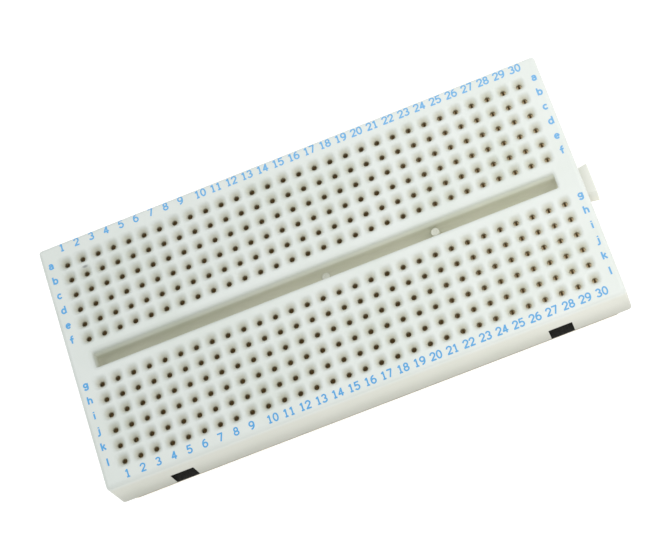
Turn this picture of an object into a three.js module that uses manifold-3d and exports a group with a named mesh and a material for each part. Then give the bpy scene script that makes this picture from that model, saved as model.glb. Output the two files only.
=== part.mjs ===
// Solderless breadboard, 30 columns by 12 rows, with dovetail tabs and sockets that link boards together.
// Millimetres, +Z up. X runs along the columns from 1 to 30, and Y from row l at the front to row a
// at the back. The origin is on the underside, below the middle of the hole grid.
import * as THREE from 'three';
import { mergeVertices } from 'three/addons/utils/BufferGeometryUtils.js';
import Module from 'manifold-3d';

const wasm = await Module();
wasm.setup();

// Hole grid
const pitch = 2.54;
const columns = 30;
const rowsPerBank = 6;
const bankOffset = 1.5 * pitch;
const bankCentre = bankOffset + 0.5 * (rowsPerBank - 1) * pitch;

// Layers, from the surface that the board stands on
const linerTop = 0.125;
const foamBottom = 0.15625;
const housingBottom = 0.55;
const housingTop = 8.5;

// Housing
const bodyLength = 81.0;
const bodyWidth = 40.2;
const cornerRadius = 0.4;
const topEdgeBevel = 0.3;
const cornerSegments = 3;
const bevelSegments = 2;
const funnelMouth = 2.2;
const funnelThroat = 0.8;
const plateThickness = 1.5;
const pocketWidth = 1.9;
const pocketLength = 15.0;
const troughLength = (columns - 1) * pitch;
const troughWidth = 2.4;
const troughDepth = 3.0;
const stubDiameter = 1.3;
const stubSides = 12;
const stubs = [{ x: 0.0, height: 0.3 }, { x: 17.6, height: 1.1 }];

// Dovetail links between boards: one wide link in the middle of each end, and two along each side
const tabHeight = 3.75;
const tabReach = 1.5;
const endTab = { neck: 4.3, tip: 4.9 };
const sideTab = { neck: 3.5, tip: 4.7 };
const socketHeight = 3.85;
const socketDepth = 1.8;
const endSocket = { mouth: 4.45, floor: 5.7 };
const sideSocket = { mouth: 3.65, floor: 5.7 };
const sideLinkX = 29.78;
const linkRoot = 1.0;

// Foam backing and its release liner
const backingLength = 77.6;
const backingWidth = 40.0;
const backingRadius = 0.8;

// Contact clips
const stripThickness = 0.2;
const clipWebWidth = 1.2;
const clipBottom = 0.95;
const clipHeight = 5.85;
const leafGap = 0.1;
const leafSlot = 0.5;
const uncutHeight = 0.95;
const cutMargin = 0.2;

// The front bank's last clips are left out, to keep the model to sixty sub-parts.
const clipsLeftOut = 3;
const banks = [
  { name: 'contact_clip_af', side: 1, clips: columns },
  { name: 'contact_clip_gl', side: -1, clips: columns - clipsLeftOut },
];

function toSolid(geometry) {
  const bare = geometry.clone();
  bare.deleteAttribute('normal');
  bare.deleteAttribute('uv');
  const merged = mergeVertices(bare, 1e-5);
  return new wasm.Manifold(new wasm.Mesh({
    numProp: 3,
    vertProperties: new Float32Array(merged.attributes.position.array),
    triVerts: new Uint32Array(merged.index.array),
  }));
}

function toGeometry(solid) {
  const mesh = solid.getMesh();
  const geometry = new THREE.BufferGeometry();
  geometry.setAttribute('position', new THREE.BufferAttribute(mesh.vertProperties, 3));
  geometry.setIndex(new THREE.BufferAttribute(mesh.triVerts, 1));
  geometry.computeVertexNormals();
  return geometry;
}

function roundedRectangle(length, width, radius) {
  const x = length / 2 - radius;
  const y = width / 2 - radius;
  const shape = new THREE.Shape();
  shape.absarc(x, y, radius, 0, Math.PI / 2);
  shape.absarc(-x, y, radius, Math.PI / 2, Math.PI);
  shape.absarc(-x, -y, radius, Math.PI, 1.5 * Math.PI);
  shape.absarc(x, -y, radius, 1.5 * Math.PI, 2 * Math.PI);
  return shape;
}

function outline(points) {
  return new THREE.Shape(points.map(([x, y]) => new THREE.Vector2(x, y)));
}

function plate(shape, low, high) {
  const geometry = new THREE.ExtrudeGeometry(shape, {
    depth: high - low,
    bevelEnabled: false,
    curveSegments: cornerSegments,
  });
  return geometry.translate(0, 0, low);
}

function block(length, width, low, high, x, y) {
  return new THREE.BoxGeometry(length, width, high - low).translate(x, y, (low + high) / 2);
}

function columnX(column) {
  return (column - (columns - 1) / 2) * pitch;
}

function rowY(side, row) {
  return side * (bankOffset + row * pitch);
}

// A dovetail prism that widens along +X from a wall at X = 0. Its root runs back through the wall.
function dovetail(neck, tip, reach, low, high) {
  const shape = outline([
    [-linkRoot, -neck / 2], [0, -neck / 2], [reach, -tip / 2],
    [reach, tip / 2], [0, neck / 2], [-linkRoot, neck / 2],
  ]);
  return plate(shape, low, high);
}

// The moulded block, with a small rounded bevel along its top edge.
function housingBlock() {
  const shape = roundedRectangle(bodyLength, bodyWidth, cornerRadius);
  const geometry = new THREE.ExtrudeGeometry(shape, {
    depth: housingTop - housingBottom,
    bevelEnabled: true,
    bevelThickness: topEdgeBevel,
    bevelSize: topEdgeBevel,
    bevelOffset: -topEdgeBevel,
    bevelSegments,
    curveSegments: cornerSegments,
  });
  geometry.translate(0, 0, housingBottom - topEdgeBevel);
  const margin = 2 * topEdgeBevel;
  const lowest = housingBottom - margin;
  const lowerBevel = block(bodyLength + margin, bodyWidth + margin, lowest, housingBottom, 0, 0);
  return toSolid(geometry).subtract(toSolid(lowerBevel));
}

// One wire hole: a square funnel from the top face down to the pocket's ceiling.
function wireFunnel() {
  const slope = (funnelMouth - funnelThroat) / plateThickness;
  const mouth = funnelMouth + slope * cutMargin;
  const throat = funnelThroat - slope * cutMargin;
  const height = plateThickness + 2 * cutMargin;
  const geometry = new THREE.CylinderGeometry(mouth / Math.SQRT2, throat / Math.SQRT2, height, 4);
  geometry.rotateY(Math.PI / 4);
  geometry.rotateX(Math.PI / 2);
  return geometry.translate(0, 0, housingTop - plateThickness / 2);
}

// The pocket that holds one contact clip, open at the underside, with its six wire holes.
function clipPocket(side) {
  const ceiling = housingTop - plateThickness;
  const bottom = housingBottom - cutMargin;
  let pocket = toSolid(block(pocketWidth, pocketLength, bottom, ceiling, 0, side * bankCentre));
  for (let row = 0; row < rowsPerBank; row += 1) {
    pocket = pocket.add(toSolid(wireFunnel().translate(0, rowY(side, row), 0)));
  }
  return toGeometry(pocket);
}

function addTabs(body) {
  const top = housingBottom + tabHeight;
  const rightTab = dovetail(endTab.neck, endTab.tip, tabReach, housingBottom, top);
  const backTab = dovetail(sideTab.neck, sideTab.tip, tabReach, housingBottom, top);
  rightTab.translate(bodyLength / 2, 0, 0);
  backTab.rotateZ(Math.PI / 2).translate(0, bodyWidth / 2, 0);
  return body
    .add(toSolid(rightTab))
    .add(toSolid(backTab.clone().translate(sideLinkX, 0, 0)))
    .add(toSolid(backTab.clone().translate(-sideLinkX, 0, 0)));
}

function cutSockets(body) {
  const bottom = housingBottom - cutMargin;
  const top = housingBottom + socketHeight;
  const leftSocket = dovetail(endSocket.mouth, endSocket.floor, socketDepth, bottom, top);
  const frontSocket = dovetail(sideSocket.mouth, sideSocket.floor, socketDepth, bottom, top);
  leftSocket.translate(-bodyLength / 2, 0, 0);
  frontSocket.rotateZ(Math.PI / 2).translate(0, -bodyWidth / 2, 0);
  return body
    .subtract(toSolid(leftSocket))
    .subtract(toSolid(frontSocket.clone().translate(sideLinkX, 0, 0)))
    .subtract(toSolid(frontSocket.clone().translate(-sideLinkX, 0, 0)));
}

// The trough between the two banks, with the two low round stubs on its floor.
function cutTrough(body) {
  const floor = housingTop - troughDepth;
  let result = body.subtract(toSolid(block(troughLength, troughWidth, floor, housingTop + cutMargin, 0, 0)));
  for (const stub of stubs) {
    const height = stub.height + cutMargin;
    const post = new THREE.CylinderGeometry(stubDiameter / 2, stubDiameter / 2, height, stubSides);
    post.rotateX(Math.PI / 2);
    post.translate(stub.x, 0, floor - cutMargin + height / 2);
    result = result.add(toSolid(post));
  }
  return result;
}

function housingGeometry() {
  let body = cutTrough(cutSockets(addTabs(housingBlock())));
  for (const { side } of banks) {
    const pocket = clipPocket(side);
    for (let column = 0; column < columns; column += 1) {
      body = body.subtract(toSolid(pocket.clone().translate(columnX(column), 0, 0)));
    }
  }
  return toGeometry(body);
}

// One spring contact: a flat web with two rows of six leaves that lean in and pinch the wire.
function clipGeometry() {
  const foot = clipWebWidth / 2;
  const tip = leafGap / 2;
  const top = clipHeight;
  const web = stripThickness;
  const length = rowsPerBank * pitch - leafSlot;
  const section = outline([
    [-foot, 0], [foot, 0], [tip + stripThickness, top], [tip, top],
    [foot - stripThickness, web], [stripThickness - foot, web], [-tip, top], [-tip - stripThickness, top],
  ]);
  const strip = new THREE.ExtrudeGeometry(section, { depth: length, bevelEnabled: false });
  strip.rotateX(Math.PI / 2);
  strip.translate(0, length / 2, clipBottom);
  let clip = toSolid(strip);
  for (let slot = 1; slot < rowsPerBank; slot += 1) {
    const y = (slot - rowsPerBank / 2) * pitch;
    const low = clipBottom + uncutHeight;
    const high = clipBottom + top + cutMargin;
    clip = clip.subtract(toSolid(block(2 * clipWebWidth, leafSlot, low, high, 0, y)));
  }
  return toGeometry(clip);
}

function whitePlastic() {
  return new THREE.MeshStandardMaterial({ color: '#e2e6de', roughness: 0.45, metalness: 0.0 });
}

function contactMetal() {
  return new THREE.MeshStandardMaterial({ color: '#b7ab92', roughness: 0.3, metalness: 1.0 });
}

function blackFoam() {
  return new THREE.MeshStandardMaterial({ color: '#1c1b18', roughness: 0.95, metalness: 0.0 });
}

function linerPaper() {
  return new THREE.MeshStandardMaterial({ color: '#e9e4d2', roughness: 0.6, metalness: 0.0 });
}

function namedMesh(name, geometry, material) {
  const mesh = new THREE.Mesh(geometry, material);
  mesh.name = name;
  return mesh;
}

const breadboard = new THREE.Group();
breadboard.add(namedMesh('housing', housingGeometry(), whitePlastic()));

const contactShape = clipGeometry();
for (const { name, side, clips } of banks) {
  for (let column = 0; column < clips; column += 1) {
    const label = String(column + 1).padStart(2, '0');
    const clip = namedMesh(`${name}_${label}`, contactShape, contactMetal());
    clip.position.set(columnX(column), side * bankCentre, 0);
    breadboard.add(clip);
  }
}

const backingShape = roundedRectangle(backingLength, backingWidth, backingRadius);
breadboard.add(namedMesh('foam_backing', plate(backingShape, foamBottom, housingBottom), blackFoam()));
breadboard.add(namedMesh('release_liner', plate(backingShape, 0, linerTop), linerPaper()));

export default breadboard;
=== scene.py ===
import math
import random

import bmesh
import bpy
from mathutils import Matrix, Quaternion, Vector


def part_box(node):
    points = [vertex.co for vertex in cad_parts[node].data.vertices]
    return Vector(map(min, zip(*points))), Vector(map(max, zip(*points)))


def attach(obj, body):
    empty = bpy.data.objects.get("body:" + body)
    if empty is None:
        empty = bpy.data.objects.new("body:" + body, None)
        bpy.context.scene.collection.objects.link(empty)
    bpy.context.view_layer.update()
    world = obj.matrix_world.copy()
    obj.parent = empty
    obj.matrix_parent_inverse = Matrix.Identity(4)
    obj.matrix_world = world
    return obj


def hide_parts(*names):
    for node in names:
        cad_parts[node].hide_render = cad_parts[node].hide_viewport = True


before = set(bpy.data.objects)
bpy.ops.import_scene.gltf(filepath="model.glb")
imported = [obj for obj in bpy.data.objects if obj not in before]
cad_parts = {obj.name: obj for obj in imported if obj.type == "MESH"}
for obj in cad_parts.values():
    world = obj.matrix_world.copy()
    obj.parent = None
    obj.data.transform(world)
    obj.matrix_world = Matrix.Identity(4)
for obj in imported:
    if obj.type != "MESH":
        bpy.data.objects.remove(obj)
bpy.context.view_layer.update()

scene = bpy.context.scene
mm = 0.001

# The hole grid and the levels that every piece is worked out from, in millimetres.
housingLow, housingHigh = (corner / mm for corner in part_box("housing"))
foamLow, foamHigh = (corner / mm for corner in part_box("foam_backing"))
linerLow, linerHigh = (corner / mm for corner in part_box("release_liner"))
clipLow, clipHigh = (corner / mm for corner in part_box("contact_clip_af_01"))
pitch = 2.54
columns = 30
rows = 6
topZ = housingHigh.z
bottomZ = housingLow.z
halfLength = -housingLow.x          # the left end and the front carry no tabs
halfWidth = -housingLow.y
columnPlaces = [(i - (columns - 1) / 2) * pitch for i in range(columns)]
rowPlaces = [(1.5 + i) * pitch for i in range(rows)]
bankCentre = 4 * pitch


class Sketch:
    # Points and faces in millimetres; a point that is asked for twice is shared.
    def __init__(self):
        self.places = []
        self.known = {}
        self.faces = []
        self.finishes = []
        self.finish = 0             # which of the piece's materials the next faces get

    def point(self, x, y, z):
        key = (round(x, 4), round(y, 4), round(z, 4))
        if key not in self.known:
            self.known[key] = len(self.places)
            self.places.append((x * mm, y * mm, z * mm))
        return self.known[key]

    def face(self, corners):
        self.faces.append(corners)
        self.finishes.append(self.finish)

    def band(self, first, second, closed=True):
        count = len(first)
        for i in range(count if closed else count - 1):
            j = (i + 1) % count
            corners = []
            for corner in (first[i], first[j], second[j], second[i]):
                if corner not in corners:
                    corners.append(corner)
            if len(corners) > 2:
                self.face(corners)

    def build(self, name, materials, sharpAngle=35):
        mesh = bpy.data.meshes.new(name)
        mesh.from_pydata(self.places, [], self.faces)
        piece = bpy.data.objects.new(name, mesh)
        scene.collection.objects.link(piece)
        for material in materials:
            mesh.materials.append(material)
        mesh.polygons.foreach_set("material_index", self.finishes)
        finishMesh(mesh, sharpAngle)
        return piece


def finishMesh(mesh, sharpAngle):
    work = bmesh.new()
    work.from_mesh(mesh)
    bmesh.ops.recalc_face_normals(work, faces=work.faces)
    work.to_mesh(mesh)
    work.free()
    mesh.shade_smooth()
    mesh.set_sharp_from_angle(angle=math.radians(sharpAngle))


def applyModifiers(piece):
    graph = bpy.context.evaluated_depsgraph_get()
    mesh = bpy.data.meshes.new_from_object(piece.evaluated_get(graph))
    piece.modifiers.clear()
    old = piece.data
    piece.data = mesh
    bpy.data.meshes.remove(old)


def cutOrJoin(piece, other, operation):
    change = piece.modifiers.new(operation, "BOOLEAN")
    change.solver = "MANIFOLD"
    change.operation = operation
    change.object = other
    applyModifiers(piece)
    bpy.data.objects.remove(other)


def loopStops(stopsX, stopsY):
    loop = [(u, -1) for u in stopsX[:-1]]
    loop += [(1, v) for v in stopsY[:-1]]
    loop += [(u, 1) for u in reversed(stopsX[1:])]
    loop += [(-1, v) for v in reversed(stopsY[1:])]
    return loop


def roundedPlace(u, v, halfX, halfY, radius):
    x = u * halfX
    y = v * halfY
    innerX = max(radius - halfX, min(halfX - radius, x))
    innerY = max(radius - halfY, min(halfY - radius, y))
    reach = math.hypot(x - innerX, y - innerY)
    if reach < 1e-9:
        return x, y
    return innerX + (x - innerX) * radius / reach, innerY + (y - innerY) * radius / reach


def ring(sketch, stops, centre, halfX, halfY, radius, z):
    places = (roundedPlace(u, v, halfX, halfY, radius) for u, v in stops)
    return [sketch.point(centre[0] + x, centre[1] + y, z) for x, y in places]


def prism(sketch, outline, low, high):
    lower = [sketch.point(x, y, low) for x, y in outline]
    upper = [sketch.point(x, y, high) for x, y in outline]
    sketch.band(lower, upper)
    sketch.face(lower[::-1])
    sketch.face(upper)


class Wire:
    # One output of a finish's node, which can be used in sums.
    def __init__(self, finish, socket):
        self.finish = finish
        self.socket = socket

    def sum(self, operation, first, second):
        return self.finish.node("ShaderNodeMath", {"operation": operation}, {0: first, 1: second})

    def __add__(self, other):
        return self.sum("ADD", self, other)

    def __sub__(self, other):
        return self.sum("SUBTRACT", self, other)

    def __rsub__(self, other):
        return self.sum("SUBTRACT", other, self)

    def __mul__(self, other):
        return self.sum("MULTIPLY", self, other)

    __radd__ = __add__
    __rmul__ = __mul__


class Finish:
    def __init__(self, name):
        self.material = bpy.data.materials.new(name)
        self.material.use_nodes = True
        self.tree = self.material.node_tree
        self.shader = self.tree.nodes["Principled BSDF"]
        self.place = self.node("ShaderNodeTexCoord", {}, {}, "Object")

    def node(self, kind, settings, inputs, output=0):
        made = self.tree.nodes.new(kind)
        for name, value in settings.items():
            setattr(made, name, value)
        for name, value in inputs.items():
            self.feed(made.inputs[name], value)
        return Wire(self, made.outputs[output])

    def feed(self, socket, value):
        if isinstance(value, Wire):
            self.tree.links.new(value.socket, socket)
        else:
            socket.default_value = value

    def axis(self, name):
        return self.node("ShaderNodeSeparateXYZ", {}, {0: self.place}, name)

    def noise(self, size, detail=3.0, stretch=(1, 1, 1)):
        scale = [part / (size * mm) for part in stretch]
        place = self.node("ShaderNodeMapping", {}, {"Vector": self.place, "Scale": scale})
        return self.node("ShaderNodeTexNoise", {}, {"Vector": place, "Scale": 1.0, "Detail": detail})

    def mask(self, wire, low, high):
        settings = {"clamp": True, "interpolation_type": "SMOOTHSTEP"}
        inputs = {"Value": wire, "From Min": low, "From Max": high}
        return self.node("ShaderNodeMapRange", settings, inputs)

    def mix(self, factor, first, second, blend="MIX"):
        settings = {"data_type": "RGBA", "blend_type": blend}
        return self.node("ShaderNodeMix", settings, {0: factor, 6: colour(first), 7: colour(second)}, 2)

    def distance(self, point, stretch):
        away = {0: self.place, 1: [part * mm for part in point]}
        away = self.node("ShaderNodeVectorMath", {"operation": "SUBTRACT"}, away)
        away = self.node("ShaderNodeVectorMath", {"operation": "MULTIPLY"}, {0: away, 1: stretch})
        return self.node("ShaderNodeVectorMath", {"operation": "LENGTH"}, {0: away}, "Value")

    def bump(self, height, distance):
        return self.node("ShaderNodeBump", {}, {"Height": height, "Distance": distance * mm}, "Normal")

    def roughness(self, pattern, look):
        return pattern * look["roughnessSpread"] + look["roughness"]

    def set(self, values):
        for name, value in values.items():
            self.feed(self.shader.inputs[name], value)
        return self.material


def colour(value):
    return value if isinstance(value, Wire) else (*value, 1)


plasticLook = {
    "roughness": 0.33,
    "roughnessSpread": 0.14,
    "grainSize": 0.12,
    "grainDepth": 0.004,
    "cloudSize": 9.0,
    "cloudSpread": (0.35, 0.75),
    "cloudShade": (0.955, 0.965, 0.945),
    "wearSize": 1.4,
    "scuff": (-34.08, 14.86, 8.4),          # one small dirty mark between the holes of rows a and b
    "scuffStretch": (0.55, 1.5, 1.0),
    "scuffCore": 0.2,
    "scuffRim": 0.5,
    "scuffStrength": 0.85,
    "scuffGrain": 0.3,
    "scuffWobble": 0.2,
    "scuffColour": (0.26, 0.27, 0.27),
    # for each part of the moulding: its colours, and the levels at which they stand; below the top colour
    # they are painted light and shade
    # painted shade: the outside walls are coloured darker and warmer towards the bottom
    "outside": (((0.78, 0.81, 0.77), 8.5), ((0.715, 0.715, 0.63), 6.6), ((0.53, 0.53, 0.455), 0.4)),
    # painted shade: the funnels are coloured darker and warmer the deeper they go, near black in the
    # throats
    "holes": (((0.78, 0.81, 0.77), 8.48), ((0.72, 0.71, 0.61), 7.62), ((0.28, 0.245, 0.16), 7.25)),
    # painted light on the trough's upper walls, and painted shade on its floor
    "trough": (((0.78, 0.81, 0.77), 8.5), ((0.88, 0.89, 0.81), 6.8), ((0.62, 0.61, 0.48), 5.6)),
    # painted light: the tabs are coloured lighter than the top face, making up for the board's shadow on
    # them
    "tabs": (((0.78, 0.81, 0.77), 8.5), ((0.835, 0.845, 0.785), 3.9), ((0.84, 0.83, 0.715), 0.5)),
    "paintedShadeEnd": (0.80, 0.81, 0.81),          # painted shade: the moulding is coloured darker towards column 1, where less light falls
    "paintedShadeSpan": (50, -50),
    "paintedGlow": (0.024, 0.018, 0.009),          # painted light: the plastic round each hole's throat glows faintly, though no lamp is there
    "paintedGlowFrom": 7.6,
    "paintedGlowTo": 7.1,
}


def makePlastic(part):
    look = plasticLook
    (tone, high), *levels = look[part]
    finish = Finish("white_plastic_painted_shading_" + part)
    height = finish.axis("Z")
    # the steps between the levels paint light and shade onto the plastic
    for nextTone, low in levels:
        tone = finish.mix(finish.mask(height, low * mm, high * mm), nextTone, tone)
        high = low
    cloud = finish.mask(finish.noise(look["cloudSize"], 2.0), *look["cloudSpread"])
    tone = finish.mix(cloud, tone, look["cloudShade"], "MULTIPLY")
    # painted shade: darker towards column 1
    leftShade = finish.mask(finish.axis("X"), *[end * mm for end in look["paintedShadeSpan"]])
    tone = finish.mix(leftShade, tone, look["paintedShadeEnd"], "MULTIPLY")
    wobble = finish.noise(look["scuffGrain"], 2.0) * (look["scuffWobble"] * mm)
    away = finish.distance(look["scuff"], look["scuffStretch"]) + wobble
    scuffed = 1 - finish.mask(away, look["scuffCore"] * mm, look["scuffRim"] * mm)
    tone = finish.mix(scuffed * look["scuffStrength"], tone, look["scuffColour"])
    grain = finish.noise(look["grainSize"], 2.0)
    rough = finish.roughness(finish.noise(look["wearSize"], 4.0), look)
    values = {"Base Color": tone, "Roughness": rough, "IOR": 1.5,
              "Normal": finish.bump(grain, look["grainDepth"])}
    # painted light: the throats glow faintly
    if part == "holes":
        depth = finish.mask(height, look["paintedGlowTo"] * mm, look["paintedGlowFrom"] * mm)
        values["Emission Color"] = finish.mix(depth, look["paintedGlow"], (0.0, 0.0, 0.0))
        values["Emission Strength"] = 1.0
    return finish.set(values)


metalLook = {
    "dark": (0.56, 0.46, 0.28),
    "light": (0.80, 0.70, 0.48),
    "streakSize": 0.25,
    "streakDepth": 0.004,
    "roughness": 0.22,
    "roughnessSpread": 0.2,
    "paintedGlow": (0.020, 0.015, 0.008),          # painted light: the clips glow faintly, like the throats above them
    "paintedTipGlint": (0.42, 0.35, 0.23),          # painted glints: the leaves' tips towards column 30 glow brighter
    "glintColumns": (8, 42),
    "glintLevels": (6.4, 6.8),
}


def makeMetal():
    look = metalLook
    finish = Finish("contact_metal")
    streak = finish.noise(look["streakSize"], 3.0, (1, 0.12, 1))
    tone = finish.mix(streak, look["dark"], look["light"])
    # painted glints on the tips towards column 30, over a faint painted glow
    nearEnd = finish.mask(finish.axis("X"), *[end * mm for end in look["glintColumns"]])
    nearTop = finish.mask(finish.axis("Z"), *[end * mm for end in look["glintLevels"]])
    paintedGlow = finish.mix(nearEnd * nearTop, look["paintedGlow"], look["paintedTipGlint"])
    return finish.set({"Base Color": tone, "Metallic": 1.0,
                       "Roughness": finish.roughness(streak, look),
                       "Normal": finish.bump(streak, look["streakDepth"]),
                       "Emission Color": paintedGlow, "Emission Strength": 1.0})


inkLook = {
    "full": (0.050, 0.305, 0.63),
    "thin": (0.080, 0.365, 0.69),
    "paintedGlareTone": (0.175, 0.450, 0.76),           # painted highlight: the print is coloured paler towards column 30, standing in for glare
    "glareSpan": (-50, 65),                  # measured along x + y
    "patchSize": 0.18,
    "patchSpread": (0.3, 0.75),
    "patchDepth": 0.003,
    "roughness": 0.4,
    "roughnessSpread": 0.15,
}


def makeInk():
    look = inkLook
    finish = Finish("blue_ink")
    patch = finish.noise(look["patchSize"], 3.0)
    tone = finish.mix(finish.mask(patch, *look["patchSpread"]), look["full"], look["thin"])
    # painted highlight: paler towards column 30 and row a
    across = finish.axis("X") + finish.axis("Y")
    glare = finish.mask(across, *[end * mm for end in look["glareSpan"]])
    tone = finish.mix(glare, tone, look["paintedGlareTone"])
    return finish.set({"Base Color": tone, "Roughness": finish.roughness(patch, look),
                       "Normal": finish.bump(patch, look["patchDepth"])})


foamLook = {
    "pore": (0.006, 0.006, 0.005),
    "skin": (0.022, 0.021, 0.018),
    "cellSize": 0.18,
    "cellDepth": 0.05,
    "wearSize": 0.5,
    "roughness": 0.8,
    "roughnessSpread": 0.15,
}


def makeFoam():
    look = foamLook
    finish = Finish("black_foam")
    scale = 1 / (look["cellSize"] * mm)
    cells = finish.node("ShaderNodeTexVoronoi", {}, {"Vector": finish.place, "Scale": scale})
    tone = finish.mix(cells, look["pore"], look["skin"])
    rough = finish.roughness(finish.noise(look["wearSize"]), look)
    return finish.set({"Base Color": tone, "Roughness": rough,
                       "Normal": finish.bump(cells, look["cellDepth"])})


linerLook = {
    "dark": (0.785, 0.730, 0.585),
    "light": (0.82, 0.77, 0.63),
    "cloudSize": 6.0,
    "cloudSpread": (0.3, 0.7),
    "fibreSize": 0.35,
    "fibreDepth": 0.01,
    "roughness": 0.35,
    "roughnessSpread": 0.25,
}


def makeLinerPaper():
    look = linerLook
    finish = Finish("liner_paper")
    fibre = finish.noise(look["fibreSize"], 5.0, (0.35, 1, 1))
    cloud = finish.noise(look["cloudSize"], 2.0)
    tone = finish.mix(finish.mask(cloud, *look["cloudSpread"]), look["dark"], look["light"])
    return finish.set({"Base Color": tone, "Roughness": finish.roughness(fibre, look),
                       "Normal": finish.bump(fibre, look["fibreDepth"])})


plastics = [makePlastic(part) for part in ("outside", "holes", "trough", "tabs")]
outsideFinish, holeFinish, troughFinish, tabFinish = range(4)
metal = makeMetal()
ink = makeInk()
foam = makeFoam()
linerPaper = makeLinerPaper()
print("finishes made")


studio = {
    "place": (34.93, -130.31, 318.75),
    "aim": (1.234, -1.688, 8.5),
    "roll": -34.83,
    "lens": 123.65,
    "key": {"place": (-200, 220, 420), "size": 400, "power": 0.80, "tint": (0.97, 0.985, 1.0)},
    "fill": {"place": (60, -260, 300), "size": 300, "power": 0.45, "tint": (1.0, 0.985, 0.96)},
    "side": {"place": (280, 60, 230), "size": 220, "power": 0.30, "tint": (1.0, 0.995, 0.98)},
    "world": (0.96, 0.985, 1.0),
    "worldStrength": 0.58,
    "floor": (0.50, 0.50, 0.50),
    "floorPatch": (0.495, 0.495, 0.495),
    "floorPatchSize": 300,
    "floorGlow": 0.72,                      # keeps the sheet white where the board shades it
    "floorSize": 6000,
    "floorDrop": 0.02,
}


def aimAt(thing, place, target, roll=0.0):
    thing.location = Vector(place) * mm
    forward = (Vector(target) - Vector(place)).normalized()
    thing.rotation_mode = "QUATERNION"
    turn = Quaternion((0, 0, 1), math.radians(roll))
    thing.rotation_quaternion = forward.to_track_quat("-Z", "Y") @ turn


def makeCamera():
    camera = bpy.data.objects.new("camera", bpy.data.cameras.new("camera"))
    camera.data.lens = studio["lens"]
    camera.data.clip_start = 0.01
    camera.data.clip_end = 10
    scene.collection.objects.link(camera)
    aimAt(camera, studio["place"], studio["aim"], studio["roll"])
    scene.camera = camera


def makeLight(name, values):
    lamp = bpy.data.lights.new(name, "AREA")
    lamp.shape = "DISK"
    lamp.size = values["size"] * mm
    lamp.energy = values["power"]
    lamp.color = values["tint"]
    light = bpy.data.objects.new(name, lamp)
    scene.collection.objects.link(light)
    aimAt(light, values["place"], (0, 0, 0))


def makeFloor():
    sheet = Sketch()
    half = studio["floorSize"] / 2
    prism(sheet, ((-half, -half), (half, -half), (half, half), (-half, half)), -2.0, -studio["floorDrop"])
    finish = Finish("floor_white")
    tone = finish.mix(finish.noise(studio["floorPatchSize"]), studio["floor"], studio["floorPatch"])
    paper = finish.set({"Base Color": tone, "Roughness": 0.9, "Specular IOR Level": 0.0,
                        "Emission Color": (1, 1, 1, 1), "Emission Strength": studio["floorGlow"]})
    sheet.build("floor", [paper])


def makeWorld():
    world = bpy.data.worlds.new("studio")
    world.use_nodes = True
    background = world.node_tree.nodes["Background"]
    background.inputs["Color"].default_value = (*studio["world"], 1)
    background.inputs["Strength"].default_value = studio["worldStrength"]
    scene.world = world
    scene.view_settings.view_transform = "Standard"


makeCamera()
makeLight("key_softbox", studio["key"])
makeLight("fill_softbox", studio["fill"])
makeLight("side_softbox", studio["side"])
makeFloor()
makeWorld()
print("studio made")


housingShape = {
    "edgeRadius": 0.65,
    "cornerRadius": 0.5,
    "bottomChamfer": 0.12,
    "funnelMouth": 1.22,                    # half sizes
    "funnelThroat": 0.39,
    "funnelDepth": 1.02,
    "funnelCurve": 1.75,                    # above 1 the funnel starts gently and steepens
    "mouthCorner": 0.7,
    "throatDepth": 1.9,
    "plate": 1.5,
    "pocket": (0.95, 7.5),
    "trough": (36.83, 1.2, 3.0),
    "troughEdge": 0.7,
    "troughFillet": 0.8,
    "troughLines": (0.0, 0.6, 1.2, 2.0),    # rows of the top face's lattice over the trough
    "rimLines": (0.0, 0.3, 0.65, 1.0),      # and how far its outer rows stand in from the edges
    "stubs": ((0.0, 0.3), (17.6, 1.1)),
    "stubRadius": 0.65,
    "sideLinkX": 29.78,
    # the dovetail links' half widths at the wall and at the tip, and their reach
    "endTab": (2.15, 2.45, 1.5),
    "sideTab": (1.75, 2.35, 1.5),
    "tabHeight": 3.75,
    "tabBevel": 0.2,
    "endSocket": (2.225, 2.85, 1.8),
    "sideSocket": (1.825, 2.85, 1.8),
    "socketHeight": 3.85,
}
cellStops = [math.tan(math.radians(15 * k)) for k in range(-3, 4)]


def latticeLines(centres, margins):
    lines = {round(centre + stop * pitch / 2, 5) for centre in centres for stop in cellStops}
    lines |= {round(side * margin, 5) for margin in margins for side in (-1, 1)}
    return sorted(lines)


def makeTop(sketch, linesX, linesY, troughX, troughY):
    bankX = columns / 2 * pitch
    bankLow = rowPlaces[0] - pitch / 2
    bankHigh = rowPlaces[-1] + pitch / 2
    sketch.finish = outsideFinish
    for x0, x1 in zip(linesX, linesX[1:]):
        for y0, y1 in zip(linesY, linesY[1:]):
            middleX, middleY = abs(x0 + x1) / 2, abs(y0 + y1) / 2
            inBank = middleX < bankX and bankLow < middleY < bankHigh
            inTrough = middleX < troughX and middleY < troughY
            if not inBank and not inTrough:
                corners = ((x0, y0), (x1, y0), (x1, y1), (x0, y1))
                sketch.face([sketch.point(x, y, topZ) for x, y in corners])


def funnelSteps():
    # Half size, corner radius and depth of each step down a wire hole.
    shape = housingShape
    mouth, throat = shape["funnelMouth"], shape["funnelThroat"]
    steps = []
    for t in (0.0, 0.2, 0.36, 0.5, 0.64, 0.78, 0.9, 1.0):
        half = mouth + (throat - mouth) * t
        corner = shape["mouthCorner"] + (throat - shape["mouthCorner"]) * t
        steps.append((half, corner, shape["funnelDepth"] * t ** shape["funnelCurve"]))
    steps.append((throat, throat, shape["throatDepth"]))
    return steps


def makeFunnels(sketch):
    stops = loopStops(cellStops, cellStops)
    steps = funnelSteps()
    sketch.finish = holeFinish
    for x in columnPlaces:
        for y in [side * place for side in (-1, 1) for place in rowPlaces]:
            above = ring(sketch, stops, (x, y), pitch / 2, pitch / 2, 0, topZ)
            for half, radius, depth in steps:
                below = ring(sketch, stops, (x, y), half, half, radius, topZ - depth)
                sketch.band(above, below)
                above = below
            sketch.face(above)


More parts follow.
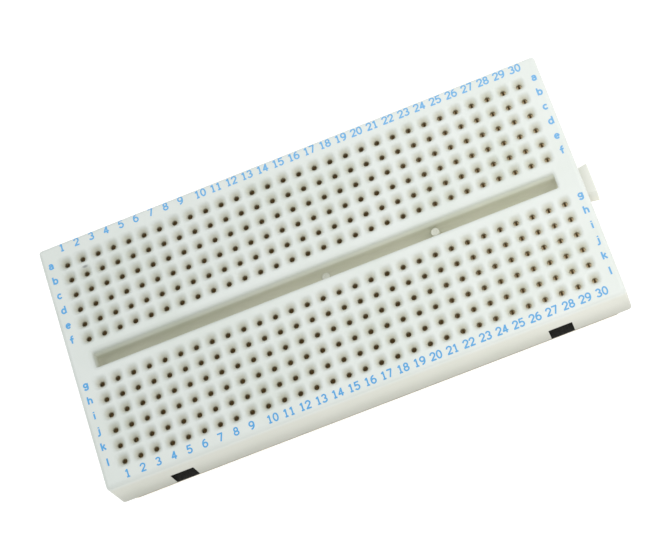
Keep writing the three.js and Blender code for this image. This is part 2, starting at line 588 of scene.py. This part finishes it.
def makeTrough(sketch, linesX, linesY, troughX, troughY):
    halfX, halfY, depth = housingShape["trough"]
    edge = housingShape["troughEdge"]
    fillet = housingShape["troughFillet"]
    stopsX = [x / troughX for x in linesX if abs(x) <= troughX + 1e-6]
    stopsY = [y / troughY for y in linesY if abs(y) <= troughY + 1e-6]
    stops = loopStops(stopsX, stopsY)
    sketch.finish = troughFinish
    above = ring(sketch, stops, (0, 0), troughX, troughY, 0, topZ)
    steps = [(edge * (1 - math.sin(a)), edge * (1 - math.cos(a))) for a in (0, 0.4, 0.8, 1.2, math.pi / 2)]
    steps.append((0, depth - fillet))
    for a in (0.3, 0.6, 0.9, 1.2, math.pi / 2):
        steps.append((-fillet * (1 - math.cos(a)), depth - fillet * (1 - math.sin(a))))
    for outset, drop in steps:
        radius = 0.2 + max(outset, 0)
        below = ring(sketch, stops, (0, 0), halfX + outset, halfY + outset, radius, topZ - drop)
        sketch.band(above, below)
        above = below
    fillTroughFloor(sketch, above, stopsX, stopsY)


def fillTroughFloor(sketch, border, stopsX, stopsY):
    # The border runs round the grid as loopStops does, so its points are the grid's own rim.
    halfX, halfY, depth = housingShape["trough"]
    halfX -= housingShape["troughFillet"]
    halfY -= housingShape["troughFillet"]
    lastX, lastY = len(stopsX) - 1, len(stopsY) - 1
    rim = [(i, 0) for i in range(lastX)] + [(lastX, j) for j in range(lastY)]
    rim += [(i, lastY) for i in range(lastX, 0, -1)] + [(0, j) for j in range(lastY, 0, -1)]
    grid = dict(zip(rim, border))
    for i in range(1, lastX):
        for j in range(1, lastY):
            grid[i, j] = sketch.point(stopsX[i] * halfX, stopsY[j] * halfY, topZ - depth)
    for i in range(lastX):
        for j in range(lastY):
            sketch.face([grid[i, j], grid[i + 1, j], grid[i + 1, j + 1], grid[i, j + 1]])


def makeSides(sketch, linesX, linesY):
    shape = housingShape
    edge = shape["edgeRadius"]
    flatX, flatY = linesX[-1], linesY[-1]
    stops = loopStops([x / flatX for x in linesX], [y / flatY for y in linesY])
    sketch.finish = outsideFinish
    above = ring(sketch, stops, (0, 0), flatX, flatY, 0, topZ)
    turns = (0.26, 0.52, 0.79, 1.05, 1.31, math.pi / 2)
    steps = [(edge * math.sin(a), edge * (1 - math.cos(a))) for a in turns]
    chamfer = shape["bottomChamfer"]
    height = topZ - bottomZ
    steps += [(edge, height * 0.5), (edge, height - chamfer), (edge - chamfer, height)]
    for outset, drop in steps:
        radius = outset / edge * shape["cornerRadius"]
        below = ring(sketch, stops, (0, 0), flatX + outset, flatY + outset, radius, topZ - drop)
        sketch.band(above, below)
        above = below
    sketch.face(above)


def dovetail(kind, root):
    neck, tip, reach = housingShape[kind]
    return [(-root, -neck), (0, -neck), (reach, -tip), (reach, tip), (0, neck), (-root, neck)]


def placed(outline, x, y, turned):
    return [(x - v, y + u) if turned else (x + u, y + v) for u, v in outline]


def linkOutlines(kind, root, endX, sideY):
    sideX = housingShape["sideLinkX"]
    sides = [placed(dovetail("side" + kind, root), x, sideY, True) for x in (sideX, -sideX)]
    return [placed(dovetail("end" + kind, root), endX, 0, False)] + sides


def cutHousing(housing):
    cutter = Sketch()
    halfX, halfY = housingShape["pocket"]
    corners = [(-halfX, -halfY), (halfX, -halfY), (halfX, halfY), (-halfX, halfY)]
    for x in columnPlaces:
        for side in (-1, 1):
            outline = placed(corners, x, side * bankCentre, False)
            prism(cutter, outline, bottomZ - 1, topZ - housingShape["plate"])
    socketTop = bottomZ + housingShape["socketHeight"]
    for outline in linkOutlines("Socket", 1.0, -halfLength, -halfWidth):
        prism(cutter, outline, bottomZ - 1, socketTop)
    cutOrJoin(housing, cutter.build("cutter", []), "DIFFERENCE")


def joinTabs(housing):
    tabs = Sketch()
    tabs.finish = tabFinish
    for outline in linkOutlines("Tab", 1.2, halfLength, halfWidth):
        prism(tabs, outline, bottomZ, bottomZ + housingShape["tabHeight"])
    piece = tabs.build("tabs", plastics)
    bevel = piece.modifiers.new("bevel", "BEVEL")
    bevel.width = housingShape["tabBevel"] * mm
    bevel.segments = 3
    bevel.limit_method = "ANGLE"
    applyModifiers(piece)
    cutOrJoin(housing, piece, "UNION")


def joinStubs(housing):
    stubs = Sketch()
    radius = housingShape["stubRadius"]
    floorZ = topZ - housingShape["trough"][2]
    turns = [k * math.tau / 24 for k in range(24)]
    for x, height in housingShape["stubs"]:
        soft = min(0.12, height * 0.6)
        steps = ((radius, -0.5), (radius, height - soft), (radius - soft * 0.4, height - soft * 0.3),
                 (radius - soft, height), (radius * 0.5, height), (radius * 0.4, height - soft * 0.4))
        rings = []
        for r, up in steps:
            rings.append([stubs.point(x + r * math.cos(t), r * math.sin(t), floorZ + up) for t in turns])
        for lower, upper in zip(rings, rings[1:]):
            stubs.band(lower, upper)
        stubs.face(rings[0][::-1])
        stubs.face(rings[-1])
    cutOrJoin(housing, stubs.build("stubs", []), "UNION")


def makeHousing():
    flatX = halfLength - housingShape["edgeRadius"]
    flatY = halfWidth - housingShape["edgeRadius"]
    troughX = housingShape["trough"][0] + cellStops[5] * pitch / 2
    troughY = housingShape["troughLines"][-1]
    insets = housingShape["rimLines"]
    linesX = latticeLines(columnPlaces, [flatX - inset for inset in insets])
    rowCentres = [side * place for side in (-1, 1) for place in rowPlaces]
    marginsY = [flatY - inset for inset in insets] + list(housingShape["troughLines"])
    linesY = latticeLines(rowCentres, marginsY)
    troughX = min(linesX, key=lambda x: abs(x - troughX))
    sketch = Sketch()
    makeTop(sketch, linesX, linesY, troughX, troughY)
    makeFunnels(sketch)
    makeTrough(sketch, linesX, linesY, troughX, troughY)
    makeSides(sketch, linesX, linesY)
    housing = sketch.build("moulded_housing", plastics)
    cutHousing(housing)
    joinTabs(housing)
    joinStubs(housing)
    housing.data.shade_smooth()
    housing.data.set_sharp_from_angle(angle=math.radians(32))
    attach(housing, "board")
    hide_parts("housing")
    return housing


housing = makeHousing()
print("housing made", len(housing.data.polygons))


clipShape = {
    "thickness": 0.2,
    "webHalf": 0.5,
    "bend": 0.16,
    "pinchHalf": 0.13,
    "pinchZ": 5.0,
    "tipHalf": 0.35,
    "slot": 0.5,
    "wallTop": 0.95,
    "leafSteps": 6,
}


def clipPath():
    # Half of the strip's middle line, from the web's centre out and up to the tip.
    shape = clipShape
    web, bend, pinch = shape["webHalf"], shape["bend"], shape["pinchHalf"]
    path = [(0.0, 0.0), (web - bend, 0.0)]
    path += [(web - bend + bend * math.sin(a), bend - bend * math.cos(a)) for a in (0.5, 1.0, math.pi / 2)]
    wall = shape["wallTop"]
    path.append((web, wall))
    for k in range(1, shape["leafSteps"] + 1):
        t = k / shape["leafSteps"]
        ease = t * t * (3 - 2 * t)
        path.append((web + (pinch - web) * ease, wall + (shape["pinchZ"] - wall) * t))
    height = clipHigh.z - clipLow.z - shape["thickness"]
    for t in (0.35, 0.7, 1.0):
        x = pinch + (shape["tipHalf"] - pinch) * t * t
        path.append((x, shape["pinchZ"] + (height - shape["pinchZ"]) * t))
    return path


def makeClipMesh():
    sketch = Sketch()
    half = clipPath()
    path = [(-x, z) for x, z in reversed(half[1:])] + half
    baseZ = clipLow.z + clipShape["thickness"] / 2
    finger = pitch - clipShape["slot"]
    stops = []
    for i in range(rows):
        middle = (i - (rows - 1) / 2) * pitch
        stops += [middle - finger / 2, middle, middle + finger / 2]
    for i, (y0, y1) in enumerate(zip(stops, stops[1:])):
        inSlot = i % 3 == 2
        for (x0, z0), (x1, z1) in zip(path, path[1:]):
            if inSlot and max(z0, z1) > clipShape["wallTop"] + 0.01:
                continue
            corners = ((x0, y0, z0), (x1, y0, z1), (x1, y1, z1), (x0, y1, z0))
            sketch.face([sketch.point(x, y, z + baseZ) for x, y, z in corners])
    piece = sketch.build("clip_strip", [metal])
    sheet = piece.modifiers.new("sheet", "SOLIDIFY")
    sheet.thickness = clipShape["thickness"] * mm
    sheet.offset = 0
    sheet.use_even_offset = True
    applyModifiers(piece)
    mesh = piece.data
    bpy.data.objects.remove(piece)
    finishMesh(mesh, 40)
    return mesh


def makeClips():
    shape = makeClipMesh()
    made = 0
    for bank, side in (("af", 1), ("gl", -1)):
        for i, x in enumerate(columnPlaces):
            mesh = shape.copy()
            mesh.transform(Matrix.Translation((x * mm, side * bankCentre * mm, 0)))
            clip = bpy.data.objects.new(f"spring_contact_{bank}_{i + 1:02d}", mesh)
            scene.collection.objects.link(clip)
            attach(clip, "board")
            node = f"contact_clip_{bank}_{i + 1:02d}"
            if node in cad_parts:
                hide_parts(node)
            made += 1
    return made


print("contact clips made", makeClips())


printLook = {
    "height": 1.32,
    "stroke": 0.235,
    "letterHeight": 1.26,
    "letterStroke": 0.265,
    "advance": 0.95,                    # from one digit's middle to the next, in millimetres
    "body": 0.64,                       # width of a mark's own box, in parts of its height
    "film": 0.012,
    "sink": 0.004,
    "overlapDrop": 0.0015,              # each later stroke of a mark lies this much lower
    "step": 0.15,                       # longest piece of a stroke
    "rowBackY": 19.1,
    "rowFrontY": -18.85,
    "left": {"x": -39.1, "lift": 0.45},
    "right": {"x": 39.42, "lift": 0.2},
    # the single figures were set a little closer together than the holes, and a little higher
    "single": {"start": 0.12, "pitch": 2.46, "lift": 0.12},
    "double": {"start": 0.19, "pitch": 2.548, "lift": 0.0},
}


def arc(x, y, radiusX, radiusY, start, end, count=12):
    turns = [math.radians(start + (end - start) * k / count) for k in range(count + 1)]
    return [(x + radiusX * math.cos(t), y + radiusY * math.sin(t)) for t in turns]


def markStrokes():
    # Strokes on a body one unit high; a stroke that ends where it starts is closed.
    tall, low = 0.93, 0.07
    bowl = 0.28
    return {
        "0": [arc(0.32, 0.5, 0.25, 0.43, 0, 360, 24)],
        "1": [[(0.34, tall), (0.34, low)], [(0.16, 0.76), (0.31, 0.90)], [(0.20, low), (0.48, low)]],
        "2": [arc(0.32, 0.68, 0.25, 0.25, 170, -35) + [(0.09, low)], [(0.07, low), (0.57, low)]],
        "3": [arc(0.30, 0.71, 0.22, 0.22, 150, -80), arc(0.30, 0.28, 0.26, 0.21, 80, -150)],
        "4": [[(0.43, tall), (0.43, low)], [(0.41, 0.88), (0.09, 0.32)], [(0.05, 0.30), (0.60, 0.30)]],
        "5": [[(0.54, tall), (0.15, tall), (0.11, 0.52)], arc(0.31, 0.34, 0.26, 0.27, 130, -145)],
        "6": [arc(0.32, 0.33, 0.25, 0.26, 0, 360, 20), arc(0.42, 0.42, 0.35, 0.50, 178, 88, 8)],
        "7": [[(0.07, tall), (0.57, tall)], [(0.55, 0.90), (0.26, low)]],
        "8": [arc(0.32, 0.71, 0.20, 0.21, 0, 360, 20), arc(0.32, 0.29, 0.25, 0.22, 0, 360, 20)],
        "9": [arc(0.32, 0.67, 0.25, 0.26, 0, 360, 20), arc(0.22, 0.58, 0.35, 0.50, -2, -92, 8)],
        "a": [arc(0.30, 0.46, 0.21, 0.20, 150, 0, 8) + [(0.51, low)],
              arc(0.30, 0.24, 0.20, 0.17, 40, 320, 14)],
        "b": [[(0.10, tall), (0.10, low)], arc(0.34, 0.35, 0.24, bowl, 0, 360, 20)],
        "c": [arc(0.33, 0.35, 0.24, bowl, 50, 310, 16)],
        "d": [[(0.54, tall), (0.54, low)], arc(0.30, 0.35, 0.24, bowl, 0, 360, 20)],
        "e": [[(0.10, 0.37), (0.53, 0.37)], arc(0.32, 0.35, 0.24, bowl, 5, 310, 18)],
        "f": [arc(0.42, 0.76, 0.17, 0.17, 80, 180, 8) + [(0.25, low)], [(0.08, 0.60), (0.46, 0.60)]],
        "g": [arc(0.30, 0.42, 0.22, 0.21, 0, 360, 20),
              [(0.53, 0.63), (0.53, 0.08)] + arc(0.30, 0.06, 0.23, 0.19, 0, -150, 10)],
        "h": [[(0.10, tall), (0.10, low)], arc(0.32, 0.42, 0.21, 0.21, 170, 0, 10) + [(0.53, low)]],
        "i": [[(0.32, 0.66), (0.32, low)], [(0.32, 0.93), (0.32, 0.88)]],
        "j": [[(0.38, 0.66), (0.38, 0.10)] + arc(0.22, 0.08, 0.16, 0.16, 0, -120, 8),
              [(0.38, 0.93), (0.38, 0.88)]],
        "k": [[(0.12, tall), (0.12, low)], [(0.50, 0.66), (0.14, 0.33)], [(0.26, 0.44), (0.54, low)]],
        "l": [[(0.32, tall), (0.32, low)]],
    }


def topAt(x, y):
    # How high the top face is at a place, where it rolls off along the edges too.
    edge = housingShape["edgeRadius"]
    overX = max(0.0, abs(x) - halfLength + edge)
    overY = max(0.0, abs(y) - halfWidth + edge)
    over = min(edge, math.hypot(overX, overY))
    return topZ - edge + math.sqrt(edge * edge - over * over)


def finelySplit(path):
    points = [path[0]]
    for start, end in zip(path, path[1:]):
        count = math.ceil(math.dist(start, end) / printLook["step"])
        for k in range(1, count + 1):
            points.append(tuple(a + (b - a) * k / count for a, b in zip(start, end)))
    return points


def strokeSides(path, width):
    path = finelySplit(path)
    closed = math.dist(path[0], path[-1]) < 1e-6
    points = path[:-1] if closed else path
    last = len(points) - 1
    left, right = [], []
    for i, (x, y) in enumerate(points):
        before = points[i - 1] if closed or i else points[i]
        after = points[(i + 1) % len(points)] if closed or i < last else points[i]
        inward = Vector((x - before[0], y - before[1]))
        outward = Vector((after[0] - x, after[1] - y))
        along = (inward.normalized() + outward.normalized()).normalized()
        half = width / 2
        grow = 0.0
        if closed or 0 < i < last:
            half /= math.sqrt(max(0.5, (1 + inward.normalized().dot(outward.normalized())) / 2))
        else:
            grow = width * (-0.25 if i == 0 else 0.25)
        left.append((x - along.y * half + along.x * grow, y + along.x * half + along.y * grow))
        right.append((x + along.y * half + along.x * grow, y - along.x * half + along.y * grow))
    return left, right, closed


def strokeSolid(sketch, path, width, film):
    left, right, closed = strokeSides(path, width)
    lowLeft, lowRight, highLeft, highRight = [
        [sketch.point(x, y, topAt(x, y) + lift) for x, y in side]
        for lift in (-printLook["sink"], film) for side in (left, right)]
    sketch.band(lowLeft, lowRight, closed)
    sketch.band(highRight, highLeft, closed)
    sketch.band(highLeft, lowLeft, closed)
    sketch.band(lowRight, highRight, closed)
    if not closed:
        for i in (0, -1):
            sketch.face([lowLeft[i], lowRight[i], highRight[i], highLeft[i]])


def writeMark(sketch, marks, text, x, y, height, width):
    # The text is centred on x, y.
    advance = printLook["advance"]
    body = printLook["body"] * height
    for i, letter in enumerate(text):
        start = x + (i - (len(text) - 1) / 2) * advance - body / 2
        for order, stroke in enumerate(marks[letter]):
            path = [(start + u * height, y + (v - 0.5) * height) for u, v in stroke]
            film = printLook["film"] - printLook["overlapDrop"] * order
            strokeSolid(sketch, path, width, film)


def makePrint():
    marks = markStrokes()
    look = printLook
    for name, y in (("back", look["rowBackY"]), ("front", look["rowFrontY"])):
        sketch = Sketch()
        for number in range(1, columns + 1):
            first, setting = (1, look["single"]) if number < 10 else (10, look["double"])
            x = columnPlaces[first - 1] + setting["start"] + (number - first) * setting["pitch"]
            writeMark(sketch, marks, str(number), x, y + setting["lift"], look["height"], look["stroke"])
        keepPrint(sketch, f"column_numbers_{name}")
    rowsFromBack = rowPlaces[::-1] + [-place for place in rowPlaces]
    for name in ("left", "right"):
        sketch = Sketch()
        x, lift = look[name]["x"], look[name]["lift"]
        for letter, y in zip("abcdefghijkl", rowsFromBack):
            writeMark(sketch, marks, letter, x, y + lift, look["letterHeight"], look["letterStroke"])
        keepPrint(sketch, f"row_letters_{name}")


def keepPrint(sketch, name):
    piece = sketch.build(name, [ink], 40)
    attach(piece, "board")


makePrint()
print("index marks made")


sheetShape = {
    "cornerRadius": 0.8,
    "cornerSteps": (0.2, 0.45, 0.8),
    "stopsX": 40,
    "stopsY": 20,
    "seed": 7,
    "foam": {"edge": 0.1, "wobble": 0.03},     # the foam's edge was cut by hand along the board
    "liner": {"edge": 0.02, "wobble": 0.0},
}


def evenStops(half, count):
    corner = [1 - inset / half for inset in sheetShape["cornerSteps"]]
    even = [k / count for k in range(-count, count + 1)]
    return sorted(set(even + corner + [-c for c in corner]))


def makeSheet(name, node, low, high, values, material, body):
    sketch = Sketch()
    edge = values["edge"]
    stops = loopStops(evenStops(high.x, sheetShape["stopsX"]), evenStops(high.y, sheetShape["stopsY"]))
    random.seed(sheetShape["seed"])
    shifts = [random.uniform(-values["wobble"], 0) for _ in stops]
    radius = sheetShape["cornerRadius"]
    rings = []
    for outset, z in ((-edge, low.z), (0, low.z + edge), (0, high.z - edge), (-edge, high.z)):
        places = []
        for (u, v), shift in zip(stops, shifts):
            grow = outset + shift
            places.append(roundedPlace(u, v, high.x + grow, high.y + grow, radius))
        rings.append([sketch.point(x, y, z) for x, y in places])
    for lower, upper in zip(rings, rings[1:]):
        sketch.band(lower, upper)
    sketch.face(rings[0][::-1])
    sketch.face(rings[-1])
    piece = sketch.build(name, [material], 50)
    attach(piece, body)
    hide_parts(node)


makeSheet("foam_tape", "foam_backing", foamLow, foamHigh, sheetShape["foam"], foam, "board")
makeSheet("peel_off_liner", "release_liner", linerLow, linerHigh, sheetShape["liner"], linerPaper,
          "liner")
print("foam and liner made")
